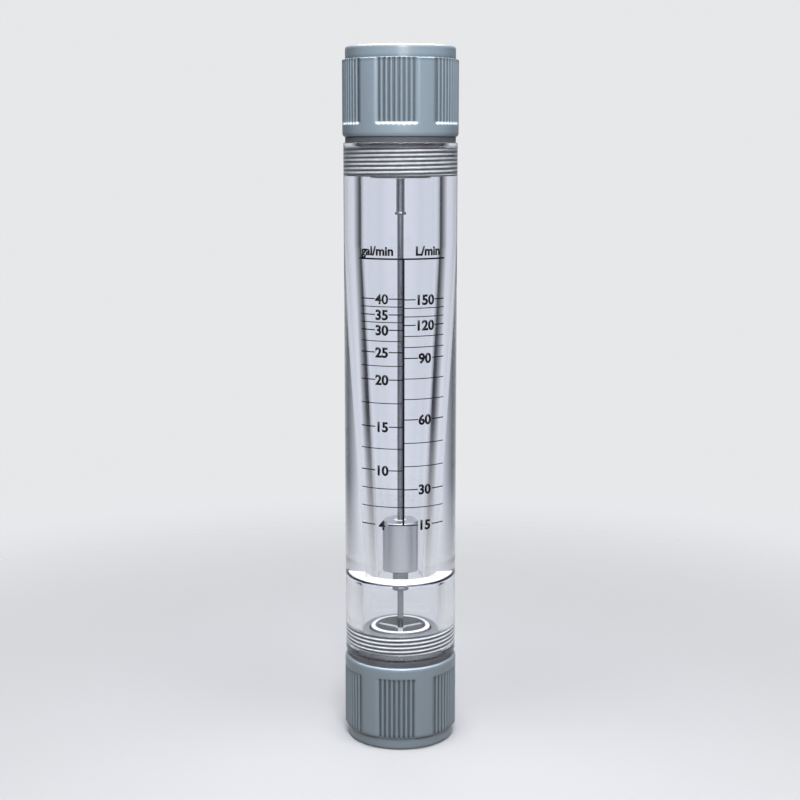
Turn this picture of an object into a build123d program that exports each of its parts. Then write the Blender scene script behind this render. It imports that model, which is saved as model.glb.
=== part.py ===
"""Clear tube flow meter with a float that slides on a guide rod.

Millimetres. +Z is up and is the axis of the tube. The origin is the centre of the
lower head's end face, which the meter stands on. The scale faces -Y.
"""

from build123d import *
import math
import os

# Pipe heads: a ribbed grip, a collar at the pipe end and a threaded spigot at the tube end
head_overhang = 0.5
head_height = 49.5
collar_step = 1.7
collar_height = 7.2
collar_round = 1.8
shoulder_round = 1.2
rim_round = 1.4
lower_spigot_length = 16.5
upper_spigot_length = 21.5
spigot_chamfer = 0.6

# Grip: groups of grooves in shallow panels, which stop at a plain band by the tube
grip_groups = 6
grip_panel_angle = 41.0
grip_panel_depth = 0.35
grip_turn = -4.0
grip_band_height = 7.5
grooves_per_group = 8
groove_pitch_angle = 4.95
groove_width = 1.35
groove_depth = 1.3
grip_cut_reach = 6.5

# Parallel pipe thread, 1 1/2 inch size, used at both ends of each head
thread_major_radius = 23.90
thread_minor_radius = 22.42
thread_fit = 0.05
pipe_thread_length = 20.0
pipe_mouth_chamfer = 1.2

# Flat seal for the pipe end, held in a recess behind each pipe thread
pipe_seal_thickness = 2.0
pipe_seal_fit = 0.1
seal_recess_radius = 23.4

# Body tube, turned and bored from clear rod
tube_radius = 32.0
tube_length = 293.0
tube_edge_chamfer = 0.5
lower_tapped_length = 14.5
upper_tapped_length = 19.0
counterbore_radius = 24.6
counterbore_depth = 2.0
lower_bore_length = 44.0
lower_bore_corner_round = 2.5
upper_bore_length = 57.5
taper_lower_radius = 13.5
taper_upper_radius = 22.42

# Gasket between head and tube, with a lip that centres it in the counterbore
gasket_thickness = 3.0
gasket_inset = 1.0
gasket_lip_height = 1.9
gasket_fit = 0.05

# Rod guide: a ring with three arms, held in the spigot's mouth by a snap ring
guide_flange_width = 1.0
guide_seat_width = 1.2
guide_pocket_depth = 8.5
guide_flange_height = 3.4
guide_ring_outer_radius = 17.2
guide_ring_wall = 2.4
guide_ring_stand = 1.0
guide_ring_round = 0.4
guide_fit = 0.05
guide_arms = 3
guide_arm_width = 2.8
guide_arm_height = 5.0
guide_hub_radius = 2.9
guide_hub_inset = 1.0
guide_hub_length = 8.5

# Snap ring in a groove of the guide's pocket
snap_ring_thickness = 1.2
snap_ring_width = 1.55
snap_groove_depth = 1.1
snap_ring_gap = 9.0
snap_fit = 0.05

# Guide rod, screwed to the lower guide and free to slide in the upper one
rod_radius = 1.8
rod_fit = 0.05
stud_radius = 1.5
stud_fit = 0.02
stud_end_length = 6.0
rod_past_upper_hub = 1.5
rod_end_chamfer = 0.4
rod_washer_radius = 3.5
rod_washer_thickness = 0.5
rod_nut_across_flats = 5.5
rod_nut_height = 2.4

# Float and its two bushes
float_radius = 10.4
float_length = 29.0
float_rest_rise = 48.5
float_chamfer = 0.6
float_gap = 0.1
bush_radius = 3.5
bush_length = 8.0
bush_fit = 0.02
bush_running_fit = 0.08

# Stops on the rod
stop_fit = 0.02
lower_stop_radius = 4.6
lower_stop_length = 13.5
lower_stop_round = 2.2
upper_stop_radius = 2.35
upper_stop_bead_radius = 3.25
upper_stop_bead_height = 1.8
upper_stop_bead_round = 0.8
upper_stop_length = 22.2
upper_stop_end_gap = 0.3

# Radii worked out from the sizes above
head_radius = tube_radius + head_overhang
collar_radius = head_radius - collar_step
grip_cut_radius = head_radius + grip_cut_reach
gasket_radius = tube_radius - gasket_inset
guide_ring_inner_radius = guide_ring_outer_radius - guide_ring_wall
guide_pocket_radius = guide_ring_outer_radius + guide_flange_width
throat_radius = guide_pocket_radius - guide_seat_width
spigot_radius = thread_major_radius - thread_fit
neck_radius = thread_minor_radius - thread_fit

# Heights worked out from the sizes above
tube_base = head_height + gasket_thickness
tube_top = tube_base + tube_length
total_height = tube_top + gasket_thickness + head_height
lower_spigot_end = head_height + lower_spigot_length
upper_spigot_end = total_height - head_height - upper_spigot_length
lower_hub_top = lower_spigot_end - guide_hub_inset
lower_hub_base = lower_hub_top - guide_hub_length
upper_hub_base = upper_spigot_end + guide_hub_inset
upper_hub_top = upper_hub_base + guide_hub_length
upper_stop_base = upper_hub_base - upper_stop_end_gap - upper_stop_length
float_rest_height = tube_base + float_rest_rise
taper_base = tube_base + lower_bore_length
taper_top = tube_top - upper_bore_length
mid_height = Plane.XY.offset(total_height / 2)

# How closely an edge has to match a size for it to be picked
match_tolerance = 0.001


def ring_edges(part, radius, height):
    """The part's circular edges of this radius at this height."""
    return (
        part.edges()
        .filter_by(GeomType.CIRCLE)
        .filter_by(lambda e: abs(e.radius - radius) < match_tolerance)
        .filter_by(lambda e: abs(e.arc_center.Z - height) < match_tolerance)
    )


def pipe_head(spigot_length):
    """A head as it stands at the lower end, with its pipe thread down and its spigot up."""
    spigot_end = head_height + spigot_length
    neck_top = head_height + gasket_thickness + counterbore_depth
    seat = pipe_thread_length
    throat_base = seat + pipe_seal_thickness
    pocket_floor = spigot_end - guide_pocket_depth
    groove_floor = pocket_floor + guide_flange_height
    with BuildPart() as head:
        with BuildSketch(Plane.XZ):
            with BuildLine():
                Polyline(
                    (thread_minor_radius, 0),
                    (collar_radius, 0),
                    (collar_radius, collar_height),
                    (head_radius, collar_height),
                    (head_radius, head_height),
                    (neck_radius, head_height),
                    (neck_radius, neck_top),
                    (spigot_radius, neck_top),
                    (spigot_radius, spigot_end),
                    (guide_pocket_radius, spigot_end),
                    (guide_pocket_radius, pocket_floor),
                    (throat_radius, pocket_floor),
                    (throat_radius, throat_base),
                    (seal_recess_radius, throat_base),
                    (seal_recess_radius, seat),
                    (thread_minor_radius, seat),
                    close=True,
                )
            make_face()
        revolve(axis=Axis.Z)
        fillet(ring_edges(head, collar_radius, 0), collar_round)
        fillet(ring_edges(head, head_radius, collar_height), shoulder_round)
        fillet(ring_edges(head, head_radius, head_height), rim_round)
        chamfer(ring_edges(head, thread_minor_radius, 0), pipe_mouth_chamfer)
        chamfer(ring_edges(head, spigot_radius, spigot_end), spigot_chamfer)
        # Groove for the snap ring, just above the guide's flange
        with BuildSketch(Plane.XY.offset(groove_floor)):
            Circle(guide_pocket_radius + snap_groove_depth)
        extrude(amount=snap_ring_thickness + 2 * snap_fit, mode=Mode.SUBTRACT)
        # Shallow grip panels, open towards the collar
        panel_height = head_height - grip_band_height - collar_height
        half_angle = math.radians(grip_panel_angle / 2)
        half_width = grip_cut_radius * math.tan(half_angle)
        wedge = ((0, 0), (grip_cut_radius, -half_width), (grip_cut_radius, half_width))
        with BuildSketch(Plane.XY.offset(collar_height)):
            with PolarLocations(0, grip_groups, start_angle=grip_turn - 90):
                Polygon(*wedge, align=None)
            Circle(head_radius - grip_panel_depth, mode=Mode.SUBTRACT)
        extrude(amount=panel_height, mode=Mode.SUBTRACT)
        # Grip grooves
        groove_floor_radius = head_radius - grip_panel_depth - groove_depth
        groove_middle = (groove_floor_radius + grip_cut_radius) / 2
        first = -groove_pitch_angle * (grooves_per_group - 1) / 2
        with BuildSketch(Plane.XY.offset(collar_height)):
            for index in range(grooves_per_group):
                turn = grip_turn - 90 + first + index * groove_pitch_angle
                with PolarLocations(groove_middle, grip_groups, start_angle=turn):
                    Rectangle(grip_cut_radius - groove_floor_radius, groove_width)
        extrude(amount=panel_height, mode=Mode.SUBTRACT)
    return head.part


def gasket():
    """The lower gasket, flat on the head, with its lip up in the tube's counterbore."""
    top = head_height + gasket_thickness
    with BuildPart() as seal:
        with BuildSketch(Plane.XY.offset(head_height)):
            Circle(gasket_radius)
            Circle(neck_radius + gasket_fit, mode=Mode.SUBTRACT)
        extrude(amount=gasket_thickness)
        with BuildSketch(Plane.XY.offset(top)):
            Circle(counterbore_radius - gasket_fit)
            Circle(neck_radius + gasket_fit, mode=Mode.SUBTRACT)
        extrude(amount=gasket_lip_height)
    return seal.part


def pipe_seal():
    """The flat seal at the bottom of the lower head's pipe thread."""
    with BuildPart() as seal:
        with BuildSketch(Plane.XY.offset(pipe_thread_length)):
            Circle(seal_recess_radius - pipe_seal_fit)
            Circle(throat_radius, mode=Mode.SUBTRACT)
        extrude(amount=pipe_seal_thickness)
    return seal.part


def rod_guide(spigot_length, hub_bore_radius):
    """The guide in the mouth of a lower spigot of this length: ring, three arms and hub."""
    spigot_end = head_height + spigot_length
    floor = spigot_end - guide_pocket_depth
    ring_top = spigot_end + guide_ring_stand
    flange_radius = guide_pocket_radius - guide_fit
    hub_top = spigot_end - guide_hub_inset
    middle_radius = (guide_ring_inner_radius + guide_ring_outer_radius) / 2
    with BuildPart() as guide:
        with BuildSketch(Plane.XY.offset(floor)):
            Circle(flange_radius)
            Circle(guide_ring_inner_radius, mode=Mode.SUBTRACT)
        extrude(amount=guide_flange_height)
        with BuildSketch(Plane.XY.offset(floor)):
            Circle(guide_ring_outer_radius)
            Circle(guide_ring_inner_radius, mode=Mode.SUBTRACT)
        extrude(amount=ring_top - floor)
        fillet(ring_edges(guide, guide_ring_outer_radius, ring_top), guide_ring_round)
        with BuildSketch(Plane.XY.offset(hub_top - guide_arm_height)):
            with PolarLocations(middle_radius / 2, guide_arms, start_angle=-90):
                Rectangle(middle_radius, guide_arm_width)
        extrude(amount=guide_arm_height)
        with BuildSketch(Plane.XY.offset(hub_top - guide_hub_length)):
            Circle(guide_hub_radius)
        extrude(amount=guide_hub_length)
        with BuildSketch(Plane.XY.offset(hub_top - guide_hub_length)):
            Circle(hub_bore_radius)
        extrude(amount=guide_hub_length, mode=Mode.SUBTRACT)
    return guide.part


def snap_ring(spigot_length):
    """The split ring that holds a lower guide's flange down in its pocket."""
    groove_floor = head_height + spigot_length - guide_pocket_depth + guide_flange_height
    outer_radius = guide_pocket_radius + snap_groove_depth - snap_fit
    with BuildPart() as ring:
        with BuildSketch(Plane.XY.offset(groove_floor + snap_fit)):
            Circle(outer_radius)
            Circle(outer_radius - snap_ring_width, mode=Mode.SUBTRACT)
            with Locations((0, outer_radius)):
                Rectangle(snap_ring_gap, outer_radius, mode=Mode.SUBTRACT)
        extrude(amount=snap_ring_thickness)
    return ring.part


def hex_nut(base):
    """A nut on the stud below the lower guide."""
    with BuildPart() as nut:
        with BuildSketch(Plane.XY.offset(base)):
            RegularPolygon(rod_nut_across_flats / 2, 6, major_radius=False)
            Circle(stud_radius + stud_fit, mode=Mode.SUBTRACT)
        extrude(amount=rod_nut_height)
    return nut.part


def float_bush(base):
    """A plain bush pressed into the float, with a running fit on the rod."""
    with BuildPart() as bush:
        with BuildSketch(Plane.XY.offset(base)):
            Circle(bush_radius - bush_fit)
            Circle(rod_radius + bush_running_fit, mode=Mode.SUBTRACT)
        extrude(amount=bush_length)
    return bush.part


# Body tube
lower_thread_end = tube_base + lower_tapped_length
upper_thread_end = tube_top - upper_tapped_length
with BuildPart() as body_tube:
    with BuildSketch(Plane.XZ):
        with BuildLine():
            Polyline(
                (tube_radius, tube_base),
                (tube_radius, tube_top),
                (counterbore_radius, tube_top),
                (counterbore_radius, tube_top - counterbore_depth),
                (thread_major_radius, tube_top - counterbore_depth),
                (thread_major_radius, upper_thread_end),
                (taper_upper_radius, upper_thread_end),
                (taper_upper_radius, taper_top),
                (taper_lower_radius, taper_base),
                (thread_minor_radius, taper_base),
                (thread_minor_radius, lower_thread_end),
                (thread_major_radius, lower_thread_end),
                (thread_major_radius, tube_base + counterbore_depth),
                (counterbore_radius, tube_base + counterbore_depth),
                (counterbore_radius, tube_base),
                close=True,
            )
        make_face()
    revolve(axis=Axis.Z)
    chamfer(ring_edges(body_tube, tube_radius, tube_base), tube_edge_chamfer)
    chamfer(ring_edges(body_tube, tube_radius, tube_top), tube_edge_chamfer)
    fillet(ring_edges(body_tube, thread_minor_radius, taper_base), lower_bore_corner_round)

# Guide rod with its stud end
stud_end = lower_hub_base - stud_end_length
rod_top = upper_hub_top + rod_past_upper_hub
with BuildPart() as guide_rod:
    with BuildSketch(Plane.XY.offset(stud_end)):
        Circle(stud_radius)
    extrude(amount=lower_hub_top - stud_end)
    with BuildSketch(Plane.XY.offset(lower_hub_top)):
        Circle(rod_radius)
    extrude(amount=rod_top - lower_hub_top)
    chamfer(ring_edges(guide_rod, rod_radius, rod_top), rod_end_chamfer)

# Washer under the lower hub
with BuildPart() as rod_washer:
    with BuildSketch(Plane.XY.offset(lower_hub_base - rod_washer_thickness)):
        Circle(rod_washer_radius)
        Circle(stud_radius + stud_fit, mode=Mode.SUBTRACT)
    extrude(amount=rod_washer_thickness)

# Float body with a seat at each end for its bush
with BuildPart() as float_body:
    with BuildSketch(Plane.XY.offset(float_rest_height)):
        Circle(float_radius)
        Circle(bush_radius, mode=Mode.SUBTRACT)
    extrude(amount=float_length)
    chamfer(ring_edges(float_body, float_radius, float_rest_height), float_chamfer)
    chamfer(ring_edges(float_body, float_radius, float_rest_height + float_length), float_chamfer)

# Lower stop, which the float rests on
lower_stop_top = float_rest_height - float_gap
with BuildPart() as lower_stop:
    with BuildSketch(Plane.XY.offset(lower_stop_top - lower_stop_length)):
        Circle(lower_stop_radius)
        Circle(rod_radius + stop_fit, mode=Mode.SUBTRACT)
    extrude(amount=lower_stop_length)
    fillet(
        ring_edges(lower_stop, lower_stop_radius, lower_stop_top - lower_stop_length),
        lower_stop_round,
    )

# Upper stop: a sleeve up to the upper guide, with a bead at its lower end
with BuildPart() as upper_stop:
    with BuildSketch(Plane.XY.offset(upper_stop_base)):
        Circle(upper_stop_radius)
        Circle(rod_radius + stop_fit, mode=Mode.SUBTRACT)
    extrude(amount=upper_stop_length)
    with BuildSketch(Plane.XY.offset(upper_stop_base)):
        Circle(upper_stop_bead_radius)
        Circle(rod_radius + stop_fit, mode=Mode.SUBTRACT)
    extrude(amount=upper_stop_bead_height)
    fillet(
        upper_stop.edges().filter_by(GeomType.CIRCLE).filter_by(
            lambda e: abs(e.radius - upper_stop_bead_radius) < match_tolerance
        ),
        upper_stop_bead_round,
    )

nut_top = lower_hub_base - rod_washer_thickness
pieces = {
    "body_tube": body_tube.part,
    "lower_head": pipe_head(lower_spigot_length),
    "upper_head": mirror(pipe_head(upper_spigot_length), about=mid_height),
    "lower_gasket": gasket(),
    "upper_gasket": mirror(gasket(), about=mid_height),
    "lower_pipe_seal": pipe_seal(),
    "upper_pipe_seal": mirror(pipe_seal(), about=mid_height),
    "lower_rod_guide": rod_guide(lower_spigot_length, stud_radius + stud_fit),
    "upper_rod_guide": mirror(rod_guide(upper_spigot_length, rod_radius + rod_fit), about=mid_height),
    "lower_snap_ring": snap_ring(lower_spigot_length),
    "upper_snap_ring": mirror(snap_ring(upper_spigot_length), about=mid_height),
    "guide_rod": guide_rod.part,
    "rod_washer": rod_washer.part,
    "rod_nut": hex_nut(nut_top - rod_nut_height),
    "rod_lock_nut": hex_nut(nut_top - 2 * rod_nut_height),
    "lower_stop": lower_stop.part,
    "upper_stop": upper_stop.part,
    "float_body": float_body.part,
    "float_lower_bush": float_bush(float_rest_height),
    "float_upper_bush": float_bush(float_rest_height + float_length - bush_length),
}

os.makedirs("parts", exist_ok=True)
for name, piece in pieces.items():
    piece.label = name
    export_step(piece, f"parts/{name}.step")
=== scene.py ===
"""Clear tube flow meter: threaded tube, ribbed heads, float, guide rod, printed scale and studio."""

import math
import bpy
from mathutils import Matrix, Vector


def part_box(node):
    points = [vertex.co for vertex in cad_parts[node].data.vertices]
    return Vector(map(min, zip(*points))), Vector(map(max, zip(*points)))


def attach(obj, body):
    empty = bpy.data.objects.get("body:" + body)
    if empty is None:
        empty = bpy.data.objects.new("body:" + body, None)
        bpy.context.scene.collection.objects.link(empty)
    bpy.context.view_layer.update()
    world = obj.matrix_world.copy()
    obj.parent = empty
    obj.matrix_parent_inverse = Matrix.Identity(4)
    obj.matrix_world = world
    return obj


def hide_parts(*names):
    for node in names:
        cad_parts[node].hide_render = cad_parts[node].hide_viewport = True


bl_info = {
    "name": "Clear Tube Flow Meter",
    "version": (1, 0, 0),
    "blender": (4, 5, 0),
    "location": "3D View > Sidebar > Flow Meter",
    "description": "Clear tube flow meter with ribbed screw heads, a guided float and a printed scale",
    "category": "Object",
}

import bmesh
import bpy
import numpy as np
from mathutils import Vector

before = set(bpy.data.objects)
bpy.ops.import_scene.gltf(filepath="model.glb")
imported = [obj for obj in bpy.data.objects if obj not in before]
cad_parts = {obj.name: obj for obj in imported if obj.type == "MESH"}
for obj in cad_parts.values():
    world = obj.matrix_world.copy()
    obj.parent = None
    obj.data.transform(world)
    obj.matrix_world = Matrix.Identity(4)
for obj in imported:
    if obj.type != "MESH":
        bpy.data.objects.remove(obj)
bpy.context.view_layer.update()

MM = 0.001
tube_low, tube_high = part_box("body_tube")
tube_foot = tube_low.z / MM
tube_head = tube_high.z / MM
tube_radius = tube_high.x / MM
meter_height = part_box("upper_head")[1].z / MM

# Millimetres, as turned: the thread's outer and inner radius and the bores of the tube
thread_outer = 23.90
thread_inner = 22.42
thread_clearance = 0.05
counterbore_radius = 24.60
counterbore_depth = 2.0
taper_foot_radius = 13.5
lower_tapped_length = 14.5
upper_tapped_length = 19.0
lower_bore_length = 44.0
bore_corner_round = 2.5
upper_bore_length = 57.5
tube_edge_round = 0.5
tapped_mouth_flare = 0.7
tapped_mouth_length = 1.4
matt_length = 2.0

# Millimetres up the tube: its seats, the ends of its threads and of its taper
low_seat = tube_foot + counterbore_depth
high_seat = tube_head - counterbore_depth
low_thread_end = tube_foot + lower_tapped_length
high_thread_end = tube_head - upper_tapped_length
shoulder = tube_foot + lower_bore_length
taper_top = tube_head - upper_bore_length

# Millimetres, as moulded: a head as it stands at the lower end
head_radius = 32.5
head_height = 49.5
collar_radius = 30.8
collar_height = 7.2
collar_round = 1.8
step_round = 1.2
rim_round = 2.4
band_height = 7.5
lower_spigot_end = 66.0
upper_spigot_end = 71.0
spigot_chamfer = 1.3
spigot_rim_radius = thread_inner - 0.2
spigot_tip_radius = thread_inner - 0.3
neck_radius = thread_inner - thread_clearance
neck_top = 54.5
pocket_radius = 18.2
pocket_depth = 8.5
snap_groove_radius = 19.3
snap_groove_low = 3.4
snap_groove_height = 1.3
throat_radius = 17.0
pipe_thread_length = 20.0
pipe_mouth_chamfer = 1.2
seal_recess_radius = 23.4
seal_recess_height = 2.0

# Degrees: where the grip's panels and grooves are
grip_groups = 6
grip_turn = -94.0
group_angle = 360 / grip_groups
panel_half_angle = 20.5
panel_edge_angles = (-0.15, 0.25)
grooves_per_group = 8
groove_pitch_angle = 4.95
first_groove_angle = -groove_pitch_angle * (grooves_per_group - 1) / 2
groove_profile_angles = (0.60, 1.00, 1.18, 1.42)
groove_profile_depths = (1.00, 0.93, 0.35, 0.00)

# Millimetres past the top of the grip, and the share of its depth that is left there
ledge_profile = ((-0.35, 1.0), (-0.08, 1.0), (0.0, 0.95), (0.08, 0.66), (0.20, 0.40), (0.40, 0.22),
                 (0.70, 0.10), (1.05, 0.03))
plain_band_rows = (1.4, 2.4, 4.5)

# Rows of faces in one turn of each thread, and columns of faces round the tube
tapped_rows_per_turn = 14
spigot_rows_per_turn = 11
pipe_rows_per_turn = 8
tube_columns = 192

# Millimetres from a corner to the points that keep the shading flat beside it
sharp_supports = (0.15, 0.5, 1.2)
round_support = 0.35

# How much of the plastics' colour is left where shade is painted on, and the painted shade and painted
# highlight colours put in its place
groove_shade = 0.42
step_shade = 0.66
socket_shade_colour = (0.150, 0.160, 0.170, 1)
ledge_highlight_colour = (0.80, 0.86, 0.90, 1)
guide_ring_start = 14.2
guide_ring_full = 14.9
guide_arm_shade = 0.45
guide_wall_shade_colour = (0.16, 0.165, 0.18, 1)

# Painted shade and painted highlight colours of the tapped threads' roots and crests, the colour of the
# matt shoulder, and how much of the threads is frosted
thread_root_shade_colour = (0.10, 0.105, 0.12, 1)
thread_crest_highlight_colour = (0.95, 0.96, 0.98, 1)
frost_cover = (0.70, 0.82)
machined_colour = (0.90, 0.91, 0.93)

# Millimetres up the tube: the numbered marks, and into how many steps the space above each is split
gallon_marks = (("4", 133.3, 3), ("10", 164.6, 2), ("15", 189.4, 2), ("20", 215.9, 2), ("25", 231.2, 2),
                ("30", 243.6, 2), ("35", 252.1, 2), ("40", 260.8, 1))
litre_marks = (("15", 133.3, 2), ("30", 153.8, 3), ("60", 193.5, 3), ("90", 228.0, 3), ("120", 246.3, 3),
               ("150", 260.4, 1))
scale_foot = 133.1
header_height = 282.7
unit_height = 287.2

# Metres along the tube's front from its middle: ends of lines, gaps for numbers, middles of words
header_ends = (-0.0251, 0.0274)
upright_place = 0.0017
mark_start = 0.0015
gallon_end = -0.0238
litre_end = 0.0270
gallon_gap = (-0.0146, -0.0066)
litre_gap = (0.0100, 0.0187)
gallon_number_place = -0.0106
litre_number_place = 0.0140
gallon_unit_place = -0.0136
litre_unit_place = 0.0160
three_digit_room = 0.0013
ink_lift = 0.000005

# Shares of the mark width and of the number height that the other lines and the units have
header_weight = 1.5
upright_weight = 1.8
step_weight = 0.8
unit_share = 0.90
cap_share = 0.72
letter_weight = 0.054
open_four_weight = 0.034

# The studio in metres, degrees and watts; each lamp is (name, place, size, power)
camera_place = (0.0, -0.870, 0.3434)
camera_tilt = 9.39
camera_lens = 68.985
camera_shift = -0.0006
lamps = (("lamp_front", (0.06, -0.62, 0.56), (0.2, 0.2), 2.9),
         ("lamp_top", (0.0, -0.12, 1.05), (0.5, 0.25), 4.5))
lamp_target = (0.0, 0.0, 0.2)
floor_radius = 0.8
floor_fade = (0.10, 0.75)
floor_bounce_colour = (0.17, 0.125, 0.085, 1)

# Colours of the studio's surround, and how much more light comes from above than from its walls
wall_colour = (0.68, 0.71, 0.79, 1)
flag_colour = (0.03, 0.032, 0.04, 1)
fill_colour = (0.42, 0.43, 0.45, 1)
backdrop_colour = (0.80, 0.805, 0.82, 1)
overhead_gain = 1.8
softbox_gain = 24.0
mirrored_wall_loss = -0.6


class FlowMeterSizes(bpy.types.PropertyGroup):
    """Sizes that a user may change"""

    thread_pitch: bpy.props.FloatProperty(
        name="Thread pitch", description="Rise of each screw thread in one turn", default=0.002309,
        min=0.001, max=0.004, precision=6, subtype="DISTANCE", unit="LENGTH")
    edge_rounding: bpy.props.FloatProperty(
        name="Edge rounding", description="Radius of the small edges of the turned parts", default=0.0002,
        min=0.00005, max=0.0005, precision=5, subtype="DISTANCE", unit="LENGTH")
    groove_depth: bpy.props.FloatProperty(
        name="Groove depth", description="Depth of each grip groove below its panel", default=0.0013,
        min=0.0002, max=0.0013, precision=5, subtype="DISTANCE", unit="LENGTH")
    panel_depth: bpy.props.FloatProperty(
        name="Panel depth", description="Depth of each grip panel below the surface", default=0.00035,
        min=0.0, max=0.0005, precision=5, subtype="DISTANCE", unit="LENGTH")
    mark_width: bpy.props.FloatProperty(
        name="Mark width", description="Thickness of the printed lines", default=0.0006,
        min=0.0002, max=0.001, precision=5, subtype="DISTANCE", unit="LENGTH")
    number_height: bpy.props.FloatProperty(
        name="Number height", description="Height of the printed numbers", default=0.0055,
        min=0.003, max=0.006, precision=5, subtype="DISTANCE", unit="LENGTH")
    ink_thickness: bpy.props.FloatProperty(
        name="Ink thickness", description="How far the print stands on the tube", default=0.00006,
        min=0.00002, max=0.0002, precision=6, subtype="DISTANCE", unit="LENGTH")


class FlowMeterColours(bpy.types.PropertyGroup):
    """Colours that a user may change"""

    head_plastic: bpy.props.FloatVectorProperty(
        name="Head plastic", description="Moulded plastic of both heads", default=(0.300, 0.376, 0.440),
        size=3, min=0.0, max=1.0, subtype="COLOR")
    acrylic: bpy.props.FloatVectorProperty(
        name="Acrylic", description="Tint of the clear tube", default=(0.975, 0.983, 1.0),
        size=3, min=0.0, max=1.0, subtype="COLOR")
    rubber: bpy.props.FloatVectorProperty(
        name="Rubber", description="Gaskets and seals", default=(0.110, 0.116, 0.128),
        size=3, min=0.0, max=1.0, subtype="COLOR")
    guide_plastic: bpy.props.FloatVectorProperty(
        name="Guide plastic", description="Rod guides", default=(0.86, 0.87, 0.88),
        size=3, min=0.0, max=1.0, subtype="COLOR")
    bush_plastic: bpy.props.FloatVectorProperty(
        name="Bush plastic", description="Bushes of the float", default=(0.72, 0.72, 0.70),
        size=3, min=0.0, max=1.0, subtype="COLOR")
    steel: bpy.props.FloatVectorProperty(
        name="Steel", description="Float", default=(0.51, 0.52, 0.54),
        size=3, min=0.0, max=1.0, subtype="COLOR")
    rod_steel: bpy.props.FloatVectorProperty(
        name="Rod steel", description="Rod, stops and nuts", default=(0.27, 0.28, 0.30),
        size=3, min=0.0, max=1.0, subtype="COLOR")
    spring_steel: bpy.props.FloatVectorProperty(
        name="Spring steel", description="Blackened snap rings", default=(0.035, 0.036, 0.040),
        size=3, min=0.0, max=1.0, subtype="COLOR")
    ink: bpy.props.FloatVectorProperty(
        name="Ink", description="Printed scale", default=(0.004, 0.004, 0.005),
        size=3, min=0.0, max=1.0, subtype="COLOR")
    floor: bpy.props.FloatVectorProperty(
        name="Floor", description="Studio floor", default=(0.74, 0.74, 0.755),
        size=3, min=0.0, max=1.0, subtype="COLOR")


def points_beside(corner, side):
    """Points near a sharp corner, on the side that leaves it."""
    return [tuple(corner + side.normalized() * distance) for distance in sharp_supports
            if distance < 0.3 * side.length]


def rounded_profile(corners):
    """Points round a closed profile of (radius, height, rounding) corners in millimetres."""
    points = []
    count = len(corners)
    for index, (radius, height, rounding) in enumerate(corners):
        corner = Vector((radius, height))
        before = Vector(corners[index - 1][:2]) - corner
        after = Vector(corners[(index + 1) % count][:2]) - corner
        reach = min(rounding, 0.45 * before.length, 0.45 * after.length)
        if reach < 0.01:
            points += reversed(points_beside(corner, before))
            points.append((radius, height))
            points += points_beside(corner, after)
            continue
        start = corner + before.normalized() * reach
        end = corner + after.normalized() * reach
        support = min(round_support, 0.2 * before.length)
        points.append(tuple(start + before.normalized() * support))
        for step in range(5):
            t = step / 4
            points.append(tuple((1 - t) ** 2 * start + 2 * t * (1 - t) * corner + t * t * end))
        support = min(round_support, 0.2 * after.length)
        points.append(tuple(end + after.normalized() * support))
    return points


def thread_radius(turns, heights, pitch):
    """Radius in millimetres of a right-hand thread at each turn (0 to 1) round the axis and height."""
    wave = 0.5 + 0.5 * np.cos(2 * math.pi * (heights / pitch - turns))
    return thread_inner + (thread_outer - thread_inner) * wave


def ease(values, low, high):
    """0 below low, 1 above high, and a smooth step between."""
    t = np.clip((values - low) / (high - low), 0, 1)
    return t * t * (3 - 2 * t)


def even_heights(low, high, step):
    """Heights from low to high, without the ends, about a step apart."""
    count = max(2, round(abs(high - low) / step))
    return [low + (high - low) * index / count for index in range(1, count)]


def add_piece(name, mesh):
    """An object that shows the mesh, in the scene."""
    piece = bpy.data.objects.new(name, mesh)
    bpy.context.scene.collection.objects.link(piece)
    return piece


def settle(shape, mesh):
    """The finished shape goes into the mesh, with its faces turned outwards."""
    bmesh.ops.recalc_face_normals(shape, faces=shape.faces)
    shape.to_mesh(mesh)
    shape.free()


def turned_mesh(name, radii, heights, angles):
    """A closed ring: a radius for each row and column, a height for each row, an angle for each column."""
    rows, columns = radii.shape
    x = radii * np.cos(angles) * MM
    y = radii * np.sin(angles) * MM
    z = np.broadcast_to(heights[:, None], radii.shape) * MM
    verts = np.stack([x, y, z], axis=-1).reshape(-1, 3)
    row, column = np.meshgrid(np.arange(rows), np.arange(columns), indexing="ij")
    next_row, next_column = (row + 1) % rows, (column + 1) % columns
    faces = np.stack([row * columns + column, row * columns + next_column,
                      next_row * columns + next_column, next_row * columns + column], axis=-1)
    mesh = bpy.data.meshes.new(name)
    mesh.from_pydata(verts.tolist(), [], faces.reshape(-1, 4).tolist())
    shape = bmesh.new()
    shape.from_mesh(mesh)
    settle(shape, mesh)
    mesh.polygons.foreach_set("use_smooth", np.ones(len(mesh.polygons), bool))
    return add_piece(name, mesh)


def wear(piece, *materials):
    """The piece takes these materials in place of its own."""
    piece.data.materials.clear()
    for material in materials:
        piece.data.materials.append(material)


def finish_nodes(names, material):
    """Solids that are shown as they are take the material."""
    for name in names:
        wear(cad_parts[name], material)


def feed(tree, socket, value):
    """The socket takes a number or a colour, or follows another socket."""
    if isinstance(value, bpy.types.NodeSocket):
        tree.links.new(value, socket)
    else:
        socket.default_value = value


def worked_out(tree, operation, *values):
    """The result of a sum on numbers and sockets."""
    node = tree.nodes.new("ShaderNodeMath")
    node.operation = operation
    for socket, value in zip(node.inputs, values):
        feed(tree, socket, value)
    return node.outputs["Value"]


def between(tree, value, from_low, from_high, to_low, to_high, curve="SMOOTHSTEP"):
    """The value carried from one range to the other, smoothly unless another curve is given."""
    spread = tree.nodes.new("ShaderNodeMapRange")
    spread.interpolation_type = curve
    limits = {"From Min": from_low, "From Max": from_high, "To Min": to_low, "To Max": to_high}
    for name, limit in limits.items():
        spread.inputs[name].default_value = limit
    tree.links.new(value, spread.inputs["Value"])
    return spread.outputs["Result"]


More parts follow.
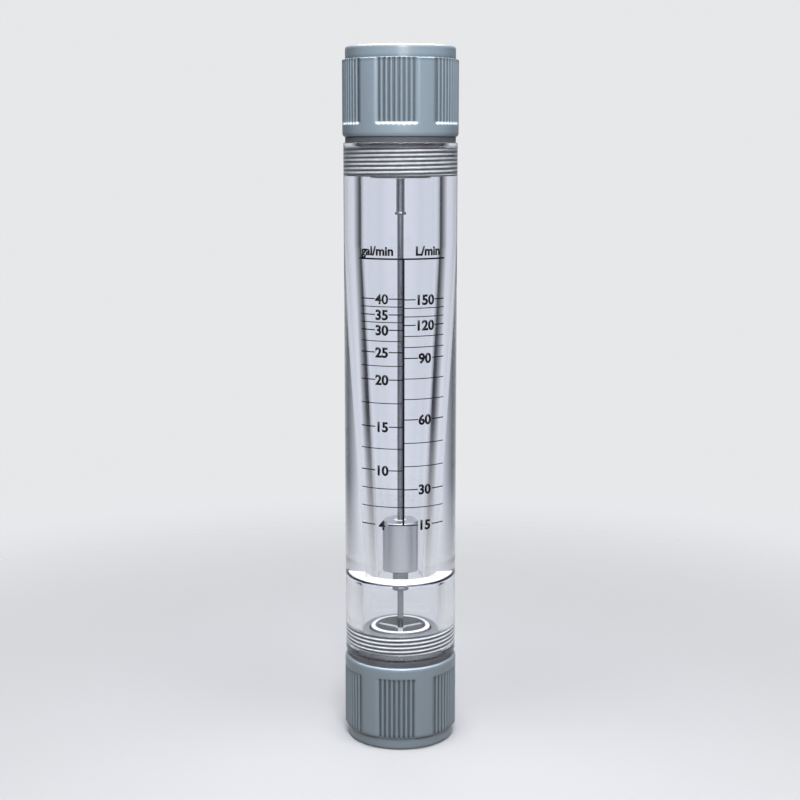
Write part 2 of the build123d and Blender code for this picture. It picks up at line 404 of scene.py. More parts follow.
def distance_to(tree, value, level):
    """How far the value is from the level, on either side."""
    return worked_out(tree, "ABSOLUTE", worked_out(tree, "SUBTRACT", value, level))


def blend_colours(tree, share, first, second):
    """A colour that goes from the first to the second with the share."""
    blend = tree.nodes.new("ShaderNodeMix")
    blend.data_type = "RGBA"
    for name, value in (("Factor", share), ("A", first), ("B", second)):
        feed(tree, blend.inputs[name], value)
    return blend.outputs["Result"]


def scaled_colour(tree, colour, share):
    """The colour times the share."""
    shade = tree.nodes.new("ShaderNodeVectorMath")
    shade.operation = "SCALE"
    tree.links.new(colour, shade.inputs[0])
    tree.links.new(share, shade.inputs["Scale"])
    return shade.outputs["Vector"]


def blend_shaders(tree, share, first, second):
    """A surface that goes from the first shader to the second with the share."""
    blend = tree.nodes.new("ShaderNodeMixShader")
    tree.links.new(share, blend.inputs["Fac"])
    tree.links.new(first, blend.inputs[1])
    tree.links.new(second, blend.inputs[2])
    return blend.outputs["Shader"]


def plain_shader(tree, kind, colour):
    """A diffuse or transparent shader of one colour."""
    shader = tree.nodes.new(kind)
    shader.inputs["Color"].default_value = colour
    return shader.outputs["BSDF"]


def show(tree, surface):
    """The material's output shows the surface."""
    tree.links.new(surface, tree.nodes["Material Output"].inputs["Surface"])


def object_place(tree):
    """Where a point is on its piece, in metres."""
    return tree.nodes.new("ShaderNodeTexCoord").outputs["Object"]


def split_axes(tree, vector):
    """The vector's X, Y and Z, by name."""
    split = tree.nodes.new("ShaderNodeSeparateXYZ")
    tree.links.new(vector, split.inputs["Vector"])
    return split.outputs


def distance_from_middle(tree, vector):
    """Length of the vector."""
    length = tree.nodes.new("ShaderNodeVectorMath")
    length.operation = "LENGTH"
    tree.links.new(vector, length.inputs[0])
    return length.outputs["Value"]


def radius_from_axis(tree):
    """Distance from the meter's axis, in metres."""
    axes = split_axes(tree, object_place(tree))
    flat = tree.nodes.new("ShaderNodeCombineXYZ")
    tree.links.new(axes["X"], flat.inputs["X"])
    tree.links.new(axes["Y"], flat.inputs["Y"])
    return distance_from_middle(tree, flat.outputs["Vector"])


def noise_over(tree, scale, detail, stretch=(1, 1, 1)):
    """A noise texture in the piece's own coordinates, stretched along each axis."""
    mapping = tree.nodes.new("ShaderNodeMapping")
    mapping.inputs["Scale"].default_value = stretch
    noise = tree.nodes.new("ShaderNodeTexNoise")
    noise.inputs["Scale"].default_value = scale
    noise.inputs["Detail"].default_value = detail
    tree.links.new(object_place(tree), mapping.inputs["Vector"])
    tree.links.new(mapping.outputs["Vector"], noise.inputs["Vector"])
    return noise.outputs["Fac"]


def new_material(name, colour, roughness, metallic=0.0):
    """A node material with the given colour, and its shader and node tree."""
    material = bpy.data.materials.new(name)
    material.use_nodes = True
    shader = material.node_tree.nodes["Principled BSDF"]
    shader.inputs["Base Color"].default_value = (*colour, 1)
    shader.inputs["Roughness"].default_value = roughness
    shader.inputs["Metallic"].default_value = metallic
    return material, shader, material.node_tree


def colour_ramp(tree, share, low, high):
    """A colour that goes from low to high with the share; each is (share, colour)."""
    ramp = tree.nodes.new("ShaderNodeValToRGB")
    for stop, (position, colour) in zip(ramp.color_ramp.elements, (low, high)):
        stop.position = position
        stop.color = colour
    tree.links.new(share, ramp.inputs["Fac"])
    return ramp.outputs["Color"]


def vary_colour(tree, shader, noise, colour, spread):
    """The colour lightened and darkened by the noise."""
    dark = (*(c * (1 - spread) for c in colour), 1)
    light = (*(min(1, c * (1 + spread)) for c in colour), 1)
    tree.links.new(colour_ramp(tree, noise, (0.3, dark), (0.7, light)), shader.inputs["Base Color"])


def vary_roughness(tree, shader, noise, low, high):
    """Roughness from low to high with the noise."""
    tree.links.new(between(tree, noise, 0.3, 0.7, low, high, "LINEAR"), shader.inputs["Roughness"])


def add_bump(tree, shader, noise, strength, distance):
    """Surface relief from the noise."""
    bump = tree.nodes.new("ShaderNodeBump")
    bump.inputs["Strength"].default_value = strength
    bump.inputs["Distance"].default_value = distance
    tree.links.new(noise, bump.inputs["Height"])
    tree.links.new(bump.outputs["Normal"], shader.inputs["Normal"])


def moulded_plastic(name, colour, roughness, grain):
    """Moulded plastic with a fine grain."""
    material, shader, tree = new_material(name, colour, roughness)
    vary_colour(tree, shader, noise_over(tree, 90, 2), colour, 0.008)
    add_bump(tree, shader, noise_over(tree, 900, 1), grain, 0.00002)
    shader.inputs["IOR"].default_value = 1.5
    return material


def turned_steel(name, colour, roughness, marks, fineness):
    """Stainless steel with turning marks round the axis."""
    material, shader, tree = new_material(name, colour, roughness, metallic=1.0)
    rings = noise_over(tree, 60, 3, (0.02, 0.02, fineness))
    gloss = noise_over(tree, 90, 3, (0.02, 0.02, fineness))
    vary_colour(tree, shader, rings, colour, 0.03)
    vary_roughness(tree, shader, gloss, roughness - 0.03, roughness + 0.03)
    add_bump(tree, shader, rings, marks, 0.00003)
    return material


def clear_acrylic(name, colour):
    """Polished clear acrylic, which lets the lamps' light through."""
    material, shader, tree = new_material(name, colour, roughness=0.0)
    shader.inputs["Transmission Weight"].default_value = 1.0
    shader.inputs["IOR"].default_value = 1.49
    add_bump(tree, shader, noise_over(tree, 35, 1, (1, 1, 0.2)), 0.02, 0.0002)
    rays = tree.nodes.new("ShaderNodeLightPath")
    shadow = plain_shader(tree, "ShaderNodeBsdfTransparent", (*colour, 1))
    show(tree, blend_shaders(tree, rays.outputs["Is Shadow Ray"], shader.outputs["BSDF"], shadow))
    return material


def tapped_acrylic(name, colour):
    """Acrylic frosted in part by the thread tap, with a painted highlight white on the crests and painted
    shade dark in the roots.
    """
    material = clear_acrylic(name, colour)
    tree = material.node_tree
    clear = tree.nodes["Material Output"].inputs["Surface"].links[0].from_socket
    radius = radius_from_axis(tree)
    # painted highlight on the crests and painted shade in the roots, by distance from the axis
    crest = between(tree, radius, (thread_inner + 0.35) * MM, (thread_outer - 0.2) * MM, 0.0, 1.0)
    frost = tree.nodes.new("ShaderNodeBsdfDiffuse")
    shade = blend_colours(tree, crest, thread_root_shade_colour, thread_crest_highlight_colour)
    tree.links.new(shade, frost.inputs["Color"])
    cover = between(tree, noise_over(tree, 300, 2), 0.3, 0.7, *frost_cover)
    show(tree, blend_shaders(tree, cover, clear, frost.outputs["BSDF"]))
    return material


def machined_acrylic(name):
    """Acrylic left matt white by the cutter."""
    material, shader, tree = new_material(name, machined_colour, roughness=0.6)
    add_bump(tree, shader, noise_over(tree, 900, 2), 0.3, 0.00005)
    return material


def moulded_rubber(name, colour):
    """Dark rubber with a dusty, uneven surface."""
    material, shader, tree = new_material(name, colour, roughness=0.6)
    vary_colour(tree, shader, noise_over(tree, 120, 4), colour, 0.18)
    vary_roughness(tree, shader, noise_over(tree, 200, 3), 0.52, 0.72)
    add_bump(tree, shader, noise_over(tree, 1500, 3), 0.25, 0.00006)
    return material


def printed_ink(name, colour):
    """Black screen ink, slightly uneven. Both printing steps share it."""
    if name in bpy.data.materials:
        return bpy.data.materials[name]
    material, shader, tree = new_material(name, colour, roughness=0.45)
    shader.inputs["Specular IOR Level"].default_value = 0.15
    vary_colour(tree, shader, noise_over(tree, 900, 2), colour, 0.3)
    vary_roughness(tree, shader, noise_over(tree, 600, 2), 0.38, 0.55)
    return material


class FLOWMETER_OT_tube(bpy.types.Operator):
    """Make the clear tube with its taper and its two inner threads"""

    bl_idname = "flowmeter.tube"
    bl_label = "Clear tube"

    def execute(self, context):
        sizes = context.scene.flow_meter_sizes
        acrylic = context.scene.flow_meter_colours.acrylic
        pitch = sizes.thread_pitch / MM
        rows = self.profile_rows(sizes.edge_rounding / MM, pitch)
        plain_radii, heights, threaded = (np.array(column) for column in zip(*rows))
        angles = np.linspace(0, 2 * math.pi, tube_columns, endpoint=False)
        tapped_radii = self.tapped_radii(heights, angles, pitch)
        radii = np.where(threaded[:, None], tapped_radii, plain_radii[:, None])
        tube = turned_mesh("clear_tube", radii, heights, angles)
        wear(tube, clear_acrylic("clear_acrylic", acrylic), machined_acrylic("machined_acrylic"),
             tapped_acrylic("tapped_acrylic", acrylic))
        self.choose_materials(tube, threaded, len(angles))
        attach(tube, "tube")
        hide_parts("body_tube")
        return {"FINISHED"}

    def profile_rows(self, small, pitch):
        """The profile as (radius, height, whether it is threaded), with close rows on each thread."""
        taper_rise = (thread_inner - taper_foot_radius) / (taper_top - shoulder)
        outline = rounded_profile([
            (tube_radius, tube_foot, tube_edge_round),
            (tube_radius, tube_head, tube_edge_round),
            (counterbore_radius, tube_head, small),
            (counterbore_radius, high_seat, small),
            (thread_inner + tapped_mouth_flare, high_seat, small),
            (thread_inner, high_thread_end, 0.0),
            (thread_inner, taper_top, 0.4),
            (taper_foot_radius + taper_rise * matt_length, shoulder + matt_length, 0.0),
            (taper_foot_radius, shoulder, small),
            (thread_inner, shoulder, bore_corner_round),
            (thread_inner, low_thread_end, 0.0),
            (thread_inner + tapped_mouth_flare, low_seat, small),
            (counterbore_radius, low_seat, small),
            (counterbore_radius, tube_foot, small)])
        threads = ((low_seat, low_thread_end), (high_thread_end, high_seat))
        rows = []
        for index, (radius, height) in enumerate(outline):
            rows.append((radius, height, False))
            next_height = outline[(index + 1) % len(outline)][1]
            bottom, top = sorted((height, next_height))
            for low, high in threads:
                if low - 0.5 <= bottom and top <= high + 0.5 and top - bottom > 5:
                    close = even_heights(height, next_height, pitch / tapped_rows_per_turn)
                    rows += [(thread_inner, z, True) for z in close]
        return rows

    def tapped_radii(self, heights, angles, pitch):
        """Radii of the inner threads, which run out along the bore and open into a flared mouth."""
        cut = thread_radius(angles[None, :] / (2 * math.pi), heights[:, None], pitch)
        lower = 1 - ease(heights, low_thread_end - 0.2, low_thread_end + 0.6)
        upper = ease(heights, high_thread_end - 0.6, high_thread_end + 0.2)
        share = np.where(heights < shoulder, lower, upper)[:, None]
        entry = np.minimum(heights - tube_foot, tube_head - heights)[:, None] - counterbore_depth
        mouth = thread_outer - np.clip(entry, 0, tapped_mouth_length)
        return np.maximum(thread_inner + (cut - thread_inner) * share, mouth)

    def choose_materials(self, tube, threaded, columns):
        """The shoulder and the foot of the taper stay matt, and the threads are frosted."""
        for face in tube.data.polygons:
            height = face.center.z / MM - shoulder
            radius = math.hypot(face.center.x, face.center.y) / MM
            on_shoulder = abs(height) < 0.02 and abs(face.normal.z) > 0.9
            on_taper_foot = 0 < height < matt_length and radius < taper_foot_radius + 2.5
            if on_shoulder or on_taper_foot:
                face.material_index = 1
            elif threaded[face.index // columns]:
                face.material_index = 2


def grip_columns():
    """Angles round a head in radians, close together at the edges of its grooves."""
    inner, outer = panel_edge_angles
    angles = []
    for group in range(grip_groups):
        middle = grip_turn + group_angle * group
        angles += [middle - panel_half_angle - outer, middle - panel_half_angle - inner]
        for groove in range(grooves_per_group):
            centre = middle + first_groove_angle + groove * groove_pitch_angle
            for offset in groove_profile_angles:
                angles += [centre - offset, centre + offset]
        angles += [middle + panel_half_angle + inner, middle + panel_half_angle + outer]
        gap = group_angle - 2 * panel_half_angle
        angles += [middle + panel_half_angle + gap * step / 6 for step in range(1, 6)]
    return np.radians(np.sort(np.array(angles)))


def grip_cut(angles, groove_depth, panel_depth):
    """Depth of the grip below the head's surface at each angle, in millimetres."""
    turn = np.degrees(angles) - grip_turn
    within = (turn + group_angle / 2) % group_angle - group_angle / 2
    inner, outer = panel_edge_angles
    beyond = ease(np.abs(within), panel_half_angle + inner, panel_half_angle + outer)
    panel = panel_depth * (1 - beyond)
    along = within - first_groove_angle
    nearest = np.clip(np.round(along / groove_pitch_angle), 0, grooves_per_group - 1)
    offset = np.abs(along - nearest * groove_pitch_angle)
    return panel + groove_depth * np.interp(offset, groove_profile_angles, groove_profile_depths)


class FLOWMETER_OT_heads(bpy.types.Operator):
    """Make both moulded heads with their grips, spigots and threads"""

    bl_idname = "flowmeter.heads"
    bl_label = "Pipe heads"

    def execute(self, context):
        colours = context.scene.flow_meter_colours
        plastic = moulded_plastic("head_plastic", colours.head_plastic, roughness=0.28, grain=0.02)
        self.shade_plastic(plastic)
        self.make_head(context, "ribbed_head_lower", lower_spigot_end, False, plastic)
        self.make_head(context, "ribbed_head_upper", upper_spigot_end, True, plastic)
        return {"FINISHED"}

    def shade_plastic(self, plastic):
        """Painted shade darkens the grooves, the collar's step and the spigot, and a painted highlight
        makes the upper ledges paler.
        """
        tree = plastic.node_tree
        base = tree.nodes["Principled BSDF"].inputs["Base Color"]
        radius = radius_from_axis(tree)
        height = split_axes(tree, object_place(tree))["Z"]
        reach = distance_to(tree, height, meter_height / 2 * MM)
        collar_start = meter_height / 2 - collar_height
        # painted shade: the grooves keep less of the plastic's colour
        open_wall = between(tree, radius, (head_radius - 1.4) * MM, (head_radius - 0.40) * MM,
                            groove_shade, 1.0)
        collar = between(tree, reach, (collar_start - 0.3) * MM, (collar_start - 0.1) * MM, 0.0, 1.0)
        # painted shade in the crease where the collar meets the grip
        from_step = distance_to(tree, reach, collar_start * MM)
        beside_step = between(tree, from_step, 0.2 * MM, 2.6 * MM, step_shade, 1.0)
        keep = worked_out(tree, "MULTIPLY", worked_out(tree, "MAXIMUM", open_wall, collar), beside_step)
        shaded = scaled_colour(tree, base.links[0].from_socket, keep)
        # painted highlight: a pale colour on the upper head's ledges at the top of the grip
        from_ledge = distance_to(tree, height, (meter_height - head_height + band_height) * MM)
        on_ledge = between(tree, from_ledge, 0.5 * MM, 1.0 * MM, 1.0, 0.0)
        recessed = between(tree, radius, (head_radius - 0.06) * MM, (head_radius - 0.02) * MM, 1.0, 0.0)
        pale = worked_out(tree, "MULTIPLY", on_ledge, recessed)
        lit = blend_colours(tree, pale, shaded, ledge_highlight_colour)
        # painted shade: everything nearer the axis than the thread, the spigot, its pocket and the pipe
        # bore, takes a dark colour
        outside = between(tree, radius, (thread_outer + 0.1) * MM, (thread_outer + 0.7) * MM, 0.0, 1.0)
        tree.links.new(blend_colours(tree, outside, socket_shade_colour, lit), base)

    def make_head(self, context, name, spigot_end, upside_down, plastic):
        """A head at the lower end, or turned over at the upper end."""
        sizes = context.scene.flow_meter_sizes
        pitch = sizes.thread_pitch / MM
        rows = self.profile_rows(spigot_end, sizes.edge_rounding / MM, pitch)
        radii, local, kinds, share = (np.array(column)[:, None] for column in zip(*rows))
        angles = grip_columns()
        heights = meter_height - local if upside_down else local
        depth = grip_cut(angles, sizes.groove_depth / MM, sizes.panel_depth / MM)
        radii = np.where(kinds == "grip", np.minimum(radii, head_radius - depth[None, :] * share), radii)
        screw = thread_radius(angles[None, :] / (2 * math.pi), heights, pitch)
        radii = np.where(kinds == "spigot", self.spigot_radii(screw, local, spigot_end), radii)
        radii = np.where(kinds == "pipe", self.pipe_radii(screw, local), radii)
        head = turned_mesh(name, radii, heights[:, 0], angles)
        wear(head, plastic)
        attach(head, "upper_fitting" if upside_down else "lower_fitting")
        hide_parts("upper_head" if upside_down else "lower_head")

    def profile_rows(self, spigot_end, small, pitch):
        """The profile as (radius, height, kind, share of the grip), with close rows on each thread."""
        grip_top = head_height - band_height
        pocket_floor = spigot_end - pocket_depth
        groove_low = pocket_floor + snap_groove_low
        groove_high = groove_low + snap_groove_height
        recess_top = pipe_thread_length + seal_recess_height
        outline = rounded_profile([
            (thread_inner + pipe_mouth_chamfer, 0, small),
            (collar_radius, 0, collar_round),
            (collar_radius, collar_height, 0.3),
            (head_radius, collar_height, step_round),
            (head_radius, head_height, rim_round),
            (neck_radius, head_height, 0.0),
            (neck_radius, neck_top, 0.0),
            (neck_radius, spigot_end, 0.0),
            (pocket_radius, spigot_end, small),
            (pocket_radius, groove_high, small),
            (snap_groove_radius, groove_high, small),
            (snap_groove_radius, groove_low, small),
            (pocket_radius, groove_low, small),
            (pocket_radius, pocket_floor, small),
            (throat_radius, pocket_floor, small),
            (throat_radius, recess_top, small),
            (seal_recess_radius, recess_top, small),
            (seal_recess_radius, pipe_thread_length, small),
            (thread_inner, pipe_thread_length, 0.0),
            (thread_inner, pipe_mouth_chamfer, 0.0)])
        rows = []
        for index, (radius, height) in enumerate(outline):
            run = outline[(index + 1) % len(outline)][1] - height
            at_grip_foot = radius > collar_radius + 0.35 and collar_height - 0.1 < height < 20
            rows.append((radius, height, "grip" if at_grip_foot else "", 1.0))
            if radius > head_radius - 0.5 and run > 20:
                rows += [(head_radius, z, "grip", 1.0) for z in even_heights(height, grip_top - 0.5, 6)]
                rows += [(head_radius, grip_top + rise, "grip", share) for rise, share in ledge_profile]
                rows += [(head_radius, grip_top + rise, "", 0.0) for rise in plain_band_rows]
            elif abs(radius - neck_radius) < 0.01 and height >= neck_top - 0.01 and run > 5:
                close = even_heights(height, spigot_end, pitch / spigot_rows_per_turn)
                rows += [(radius, z, "spigot", 0.0) for z in close]
                rows.append((spigot_rim_radius, spigot_end - 0.02, "", 0.0))
            elif abs(radius - thread_inner) < 0.01 and run < -10:
                close = even_heights(height, pipe_mouth_chamfer, pitch / pipe_rows_per_turn)
                rows += [(radius, z, "pipe", 0.0) for z in close]
        return rows

    def spigot_radii(self, screw, local, spigot_end):
        """Radii of the spigot's thread, which runs out at the neck and is chamfered at the end."""
        share = ease(local, neck_top, neck_top + 0.9)
        thread = neck_radius + (screw - thread_clearance - neck_radius) * share
        chamfer_start = spigot_end - spigot_chamfer
        chamfer = thread_outer - thread_clearance - (local - chamfer_start)
        tip = np.maximum(np.minimum(thread, chamfer), spigot_tip_radius)
        return np.where(local < chamfer_start, thread, tip)

    def pipe_radii(self, screw, local):
        """Radii of the pipe thread, which opens into a chamfered mouth."""
        thread = thread_inner + (screw - thread_inner) * ease(local, 0.9, 1.9)
        return np.maximum(thread, thread_inner + pipe_mouth_chamfer - local)


class FLOWMETER_OT_seals(bpy.types.Operator):
    """Finish the gaskets and the pipe seals"""

    bl_idname = "flowmeter.seals"
    bl_label = "Gaskets and seals"

    def execute(self, context):
        rubber = moulded_rubber("seal_rubber", context.scene.flow_meter_colours.rubber)
        finish_nodes(("lower_gasket", "upper_gasket", "lower_pipe_seal", "upper_pipe_seal"), rubber)
        return {"FINISHED"}


class FLOWMETER_OT_guides(bpy.types.Operator):
    """Finish the rod guides and the snap rings that hold them"""

    bl_idname = "flowmeter.guides"
    bl_label = "Rod guides"

    def execute(self, context):
        colours = context.scene.flow_meter_colours
        plastic = moulded_plastic("guide_plastic", colours.guide_plastic, roughness=0.28, grain=0.05)
        self.shade_plastic(plastic)
        finish_nodes(("lower_rod_guide", "upper_rod_guide"), plastic)
        spring = turned_steel("spring_steel", colours.spring_steel, roughness=0.4, marks=0.1, fineness=20)
        finish_nodes(("lower_snap_ring", "upper_snap_ring"), spring)
        return {"FINISHED"}

    def shade_plastic(self, plastic):
        """Painted shade: darker on the upright walls and on the arms inside the ring, where little light
        comes in.
        """
        tree = plastic.node_tree
        base = tree.nodes["Principled BSDF"].inputs["Base Color"]
        surface = tree.nodes.new("ShaderNodeNewGeometry")
        level = worked_out(tree, "ABSOLUTE", split_axes(tree, surface.outputs["Normal"])["Z"])
        # painted shade on faces that stand upright and on the arms inside the ring
        lying = between(tree, level, 0.2, 0.8, 0.0, 1.0)
        on_ring = between(tree, radius_from_axis(tree), guide_ring_start * MM, guide_ring_full * MM,
                          guide_arm_shade, 1.0)
        share = worked_out(tree, "MULTIPLY", lying, on_ring)
        tree.links.new(blend_colours(tree, share, guide_wall_shade_colour, base.links[0].from_socket), base)


class FLOWMETER_OT_rod(bpy.types.Operator):
    """Finish the guide rod with its stops, washer and nuts"""

    bl_idname = "flowmeter.rod"
    bl_label = "Guide rod"

    def execute(self, context):
        colour = context.scene.flow_meter_colours.rod_steel
        finish_nodes(("guide_rod", "rod_washer", "rod_nut", "rod_lock_nut", "lower_stop", "upper_stop"),
                     turned_steel("rod_steel", colour, roughness=0.18, marks=0.01, fineness=2))
        return {"FINISHED"}


class FLOWMETER_OT_float(bpy.types.Operator):
    """Finish the float and its bushes"""

    bl_idname = "flowmeter.float"
    bl_label = "Float"

    def execute(self, context):
        colours = context.scene.flow_meter_colours
        steel = turned_steel("float_steel", colours.steel, roughness=0.30, marks=0.02, fineness=30)
        finish_nodes(("float_body",), steel)
        bush = moulded_plastic("bush_plastic", colours.bush_plastic, roughness=0.5, grain=0.1)
        finish_nodes(("float_lower_bush", "float_upper_bush"), bush)
        return {"FINISHED"}


def wrapped(x, z, lift):
    """The point at x along the tube's front and height z, in metres, lifted off its surface."""
    angle = x / (tube_radius * MM)
    radius = tube_radius * MM + lift
    return (radius * math.sin(angle), -radius * math.cos(angle), z)


def line_outline(left, right, z, width):
    """A level line from left to right, all in metres."""
    count = max(1, round((right - left) / MM))
    xs = [left + (right - left) * index / count for index in range(count + 1)]
    return [(x, z - width / 2) for x in xs] + [(x, z + width / 2) for x in reversed(xs)]


def upright_outline(x, low, high, width):
    """An upright line from low to high, all in metres."""
    left, right = x - width / 2, x + width / 2
    return [(left, low), (right, low), (right, high), (left, high)]


def inked_piece(context, name, shape, mesh):
    """The film of ink as a piece of its own."""
    settle(shape, mesh)
    piece = add_piece(name, mesh)
    wear(piece, printed_ink("scale_ink", context.scene.flow_meter_colours.ink))
    return piece


class FLOWMETER_OT_scale_lines(bpy.types.Operator):
    """Print the lines of both scales on the tube"""

    bl_idname = "flowmeter.scale_lines"
    bl_label = "Scale lines"

    def execute(self, context):
        width = context.scene.flow_meter_sizes.mark_width
        top = (header_height - 0.2) * MM
        outlines = [line_outline(*header_ends, header_height * MM, width * header_weight),
                    upright_outline(upright_place, scale_foot * MM, top, width * upright_weight)]
        outlines += self.mark_outlines(gallon_marks, gallon_end, gallon_gap, width)
        outlines += self.mark_outlines(litre_marks, litre_end, litre_gap, width)
        self.print_lines(context, outlines)
        return {"FINISHED"}

    def mark_outlines(self, marks, outer, gap, width):
        """The marks of one scale, open where their numbers stand, with thinner steps between them."""
        outlines = []
        left, right = sorted((outer, mark_start + math.copysign(width / 2, outer)))
        for index, (number, height, parts) in enumerate(marks):
            z = height * MM
            wider = three_digit_room if len(number) == 3 else 0
            outlines.append(line_outline(left, gap[0] - 1.2 * wider, z, width))
            outlines.append(line_outline(gap[1] + wider, right, z, width))
            if index + 1 < len(marks):
                above = marks[index + 1][1] * MM
                outlines += [line_outline(left, right, z + (above - z) * part / parts, width * step_weight)
                             for part in range(1, parts)]
        return outlines

    def print_lines(self, context, outlines):
        """One film of ink from flat outlines of (x, z) points, wrapped on the tube."""
        thickness = context.scene.flow_meter_sizes.ink_thickness
        shape = bmesh.new()
        for outline in outlines:
            inner = [shape.verts.new(wrapped(x, z, ink_lift)) for x, z in outline]
            outer = [shape.verts.new(wrapped(x, z, thickness)) for x, z in outline]
            count = len(outline)
            for a in range(count // 2 - 1):
                b = count - 1 - a
                shape.faces.new((outer[a], outer[a + 1], outer[b - 1], outer[b]))
                shape.faces.new((inner[b], inner[b - 1], inner[a + 1], inner[a]))
            for a in range(count):
                b = (a + 1) % count
                shape.faces.new((outer[b], outer[a], inner[a], inner[b]))
        lines = inked_piece(context, "scale_lines", shape, bpy.data.meshes.new("scale_lines"))
        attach(lines, "tube")


class FLOWMETER_OT_scale_numbers(bpy.types.Operator):
    """Print the plain numbers and units of both scales on the tube"""

    bl_idname = "flowmeter.scale_numbers"
    bl_label = "Scale numbers"

    def execute(self, context):
        tall = context.scene.flow_meter_sizes.number_height
        for kind, marks, x in (("gallons", gallon_marks, gallon_number_place),
                               ("litres", litre_marks, litre_number_place)):
            for number, height, _ in marks:
                self.print_words(context, number, x, height * MM, tall, "number_%s_%s" % (kind, number))
        z, small = unit_height * MM, tall * unit_share
        self.print_words(context, "gal/min", gallon_unit_place, z, small, "unit_gallons")
        self.print_words(context, "L/min", litre_unit_place, z, small, "unit_litres")
        return {"FINISHED"}

    def print_words(self, context, words, x, z, height, name):
        """Words centred at x and z, wrapped on the tube."""
        mesh = self.flat_letters(context, words, height, name)
        thickness = context.scene.flow_meter_sizes.ink_thickness
        shape = bmesh.new()
        shape.from_mesh(mesh)
        bmesh.ops.remove_doubles(shape, verts=shape.verts, dist=1e-7)
        film = bmesh.ops.extrude_face_region(shape, geom=list(shape.faces))
        raised = {item for item in film["geom"] if isinstance(item, bmesh.types.BMVert)}
        for vert in shape.verts:
            lift = thickness if vert in raised else ink_lift
            vert.co = Vector(wrapped(x + vert.co.x, z + vert.co.y - height / 2, lift))
        piece = inked_piece(context, name, shape, mesh)
        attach(piece, "tube")

    def flat_letters(self, context, words, height, name):
        """The words as a flat mesh. With a 4 they are thinner, so that its eye stays open."""
        lettering = bpy.data.curves.new(name, "FONT")
        lettering.body = words
        lettering.align_x = "CENTER"
        lettering.size = height / cap_share
        lettering.offset = height * (open_four_weight if "4" in words else letter_weight)
        lettering.resolution_u = 4
        holder = add_piece(name + "_outline", lettering)
        context.view_layer.update()
        shown = holder.evaluated_get(context.evaluated_depsgraph_get())
        mesh = bpy.data.meshes.new_from_object(shown)
        mesh.name = name
        bpy.data.objects.remove(holder)
        if not mesh.vertices:
            raise RuntimeError("the font gave no outline for " + words)
        return mesh


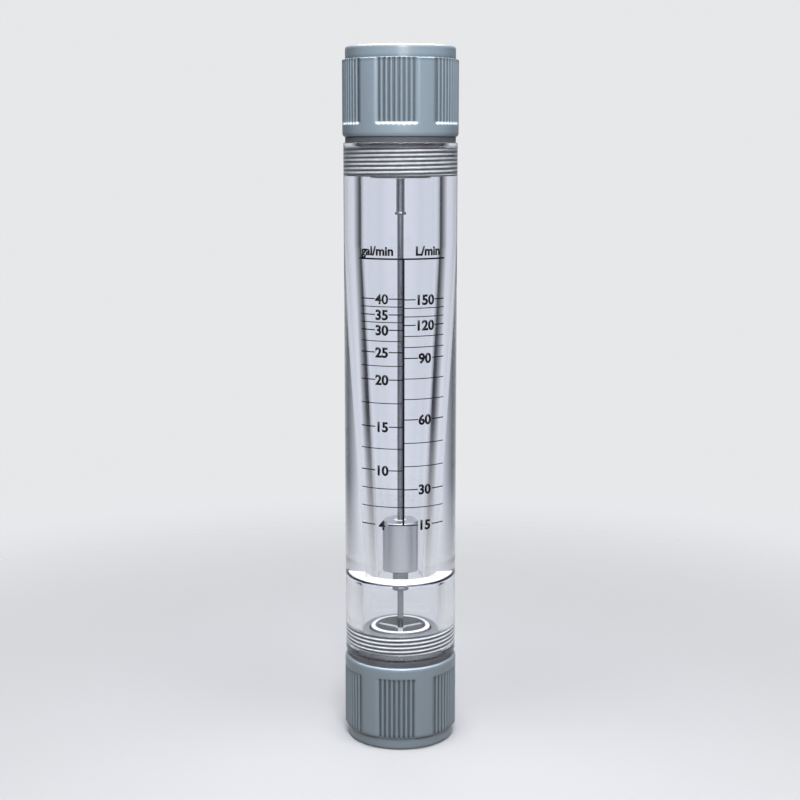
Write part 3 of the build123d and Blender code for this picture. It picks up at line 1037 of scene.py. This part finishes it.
class FLOWMETER_OT_stage(bpy.types.Operator):
    """Make the studio: the camera, a pale floor, a pale surround and soft lamps"""

    bl_idname = "flowmeter.stage"
    bl_label = "Studio"

    def execute(self, context):
        self.place_camera(context)
        self.make_floor(context.scene.flow_meter_colours.floor)
        self.make_surround(context)
        for lamp in lamps:
            self.add_lamp(*lamp)
        context.scene.view_settings.view_transform = "Standard"
        return {"FINISHED"}

    def place_camera(self, context):
        """A camera in front, above the middle of the meter, tilted down."""
        view = bpy.data.cameras.new("studio_camera")
        view.sensor_width = 36.0
        view.lens = camera_lens
        view.shift_x = camera_shift
        camera = add_piece("studio_camera", view)
        camera.location = camera_place
        camera.rotation_euler = (math.radians(90 - camera_tilt), 0.0, 0.0)
        context.scene.camera = camera

    def make_floor(self, colour):
        """A round floor that keeps the meter's shadow, fades out at its rim and bounces little light."""
        shape = bmesh.new()
        bmesh.ops.create_circle(shape, cap_ends=True, segments=96, radius=floor_radius)
        mesh = bpy.data.meshes.new("studio_floor")
        shape.to_mesh(mesh)
        shape.free()
        floor = add_piece("studio_floor", mesh)
        material, shader, tree = new_material("studio_floor", colour, roughness=0.55)
        shader.inputs["Specular IOR Level"].default_value = 0.0
        vary_colour(tree, shader, noise_over(tree, 3, 2), colour, 0.012)
        rays = tree.nodes.new("ShaderNodeLightPath")
        dim = plain_shader(tree, "ShaderNodeBsdfDiffuse", floor_bounce_colour)
        lit = blend_shaders(tree, rays.outputs["Is Diffuse Ray"], shader.outputs["BSDF"], dim)
        clear = tree.nodes.new("ShaderNodeBsdfTransparent").outputs["BSDF"]
        fade = between(tree, distance_from_middle(tree, object_place(tree)), *floor_fade, 0.0, 1.0)
        show(tree, blend_shaders(tree, fade, lit, clear))
        wear(floor, material)

    def make_surround(self, context):
        """A world that is pale behind the meter and dimmer at its sides, as in a photographer's tent."""
        world = bpy.data.worlds.new("studio_surround")
        world.use_nodes = True
        context.scene.world = world
        tree = world.node_tree
        rays = tree.nodes.new("ShaderNodeLightPath").outputs
        toward = split_axes(tree, tree.nodes.new("ShaderNodeTexCoord").outputs["Generated"])
        sideways = worked_out(tree, "ABSOLUTE", toward["X"])
        seen_sides = colour_ramp(tree, sideways, (0.55, wall_colour), (0.86, flag_colour))
        cast_sides = colour_ramp(tree, sideways, (0.10, fill_colour), (0.70, flag_colour))
        ahead = between(tree, toward["Y"], 0.12, 0.30, 0.0, 1.0)
        behind = between(tree, toward["Y"], -0.30, -0.12, 0.9, 0.0)
        flags = worked_out(tree, "MAXIMUM", ahead, behind)
        seen = blend_colours(tree, flags, wall_colour, seen_sides)
        walls = blend_colours(tree, rays["Is Diffuse Ray"], seen, cast_sides)
        overhead = between(tree, toward["Z"], 0.35, 0.80, 1.0, overhead_gain)
        softbox = between(tree, toward["Z"], 0.45, 0.95, mirrored_wall_loss, softbox_gain)
        mirrored = worked_out(tree, "SUBTRACT", rays["Is Glossy Ray"], rays["Is Transmission Ray"])
        mirrored.node.use_clamp = True
        gain = worked_out(tree, "MULTIPLY_ADD", mirrored, softbox, overhead)
        lit = scaled_colour(tree, walls, gain)
        shown = blend_colours(tree, rays["Is Camera Ray"], lit, backdrop_colour)
        tree.links.new(shown, tree.nodes["Background"].inputs["Color"])

    def add_lamp(self, name, place, size, power):
        """A soft rectangular lamp aimed at the middle of the tube."""
        light = bpy.data.lights.new(name, "AREA")
        light.shape = "RECTANGLE"
        light.size, light.size_y = size
        light.energy = power
        lamp = add_piece(name, light)
        lamp.location = place
        aim = Vector(lamp_target) - Vector(place)
        lamp.rotation_euler = aim.to_track_quat("-Z", "Y").to_euler()


class FLOWMETER_PT_panel(bpy.types.Panel):
    """Lists the pieces of the meter with their sizes and colours"""

    bl_idname = "FLOWMETER_PT_panel"
    bl_label = "Flow Meter"
    bl_space_type = "VIEW_3D"
    bl_region_type = "UI"
    bl_category = "Flow Meter"

    def draw(self, context):
        column = self.layout.column()
        for group in (context.scene.flow_meter_sizes, context.scene.flow_meter_colours):
            for name in group.__annotations__:
                column.prop(group, name)
        for operator in operators:
            column.operator(operator.bl_idname)


operators = (FLOWMETER_OT_tube, FLOWMETER_OT_heads, FLOWMETER_OT_seals, FLOWMETER_OT_guides,
             FLOWMETER_OT_rod, FLOWMETER_OT_float, FLOWMETER_OT_scale_lines,
             FLOWMETER_OT_scale_numbers, FLOWMETER_OT_stage)
classes = (FlowMeterSizes, FlowMeterColours, *operators, FLOWMETER_PT_panel)


def register():
    """Add the classes and the scene's settings."""
    for item in classes:
        bpy.utils.register_class(item)
    bpy.types.Scene.flow_meter_sizes = bpy.props.PointerProperty(type=FlowMeterSizes)
    bpy.types.Scene.flow_meter_colours = bpy.props.PointerProperty(type=FlowMeterColours)


def unregister():
    """Take the settings and the classes away again."""
    del bpy.types.Scene.flow_meter_colours
    del bpy.types.Scene.flow_meter_sizes
    for item in reversed(classes):
        bpy.utils.unregister_class(item)


def main():
    """Make every piece in order."""
    register()
    bpy.ops.flowmeter.tube()
    bpy.ops.flowmeter.heads()
    bpy.ops.flowmeter.seals()
    bpy.ops.flowmeter.guides()
    bpy.ops.flowmeter.rod()
    bpy.ops.flowmeter.float()
    bpy.ops.flowmeter.scale_lines()
    bpy.ops.flowmeter.scale_numbers()
    bpy.ops.flowmeter.stage()


if __name__ == "__main__":
    main()
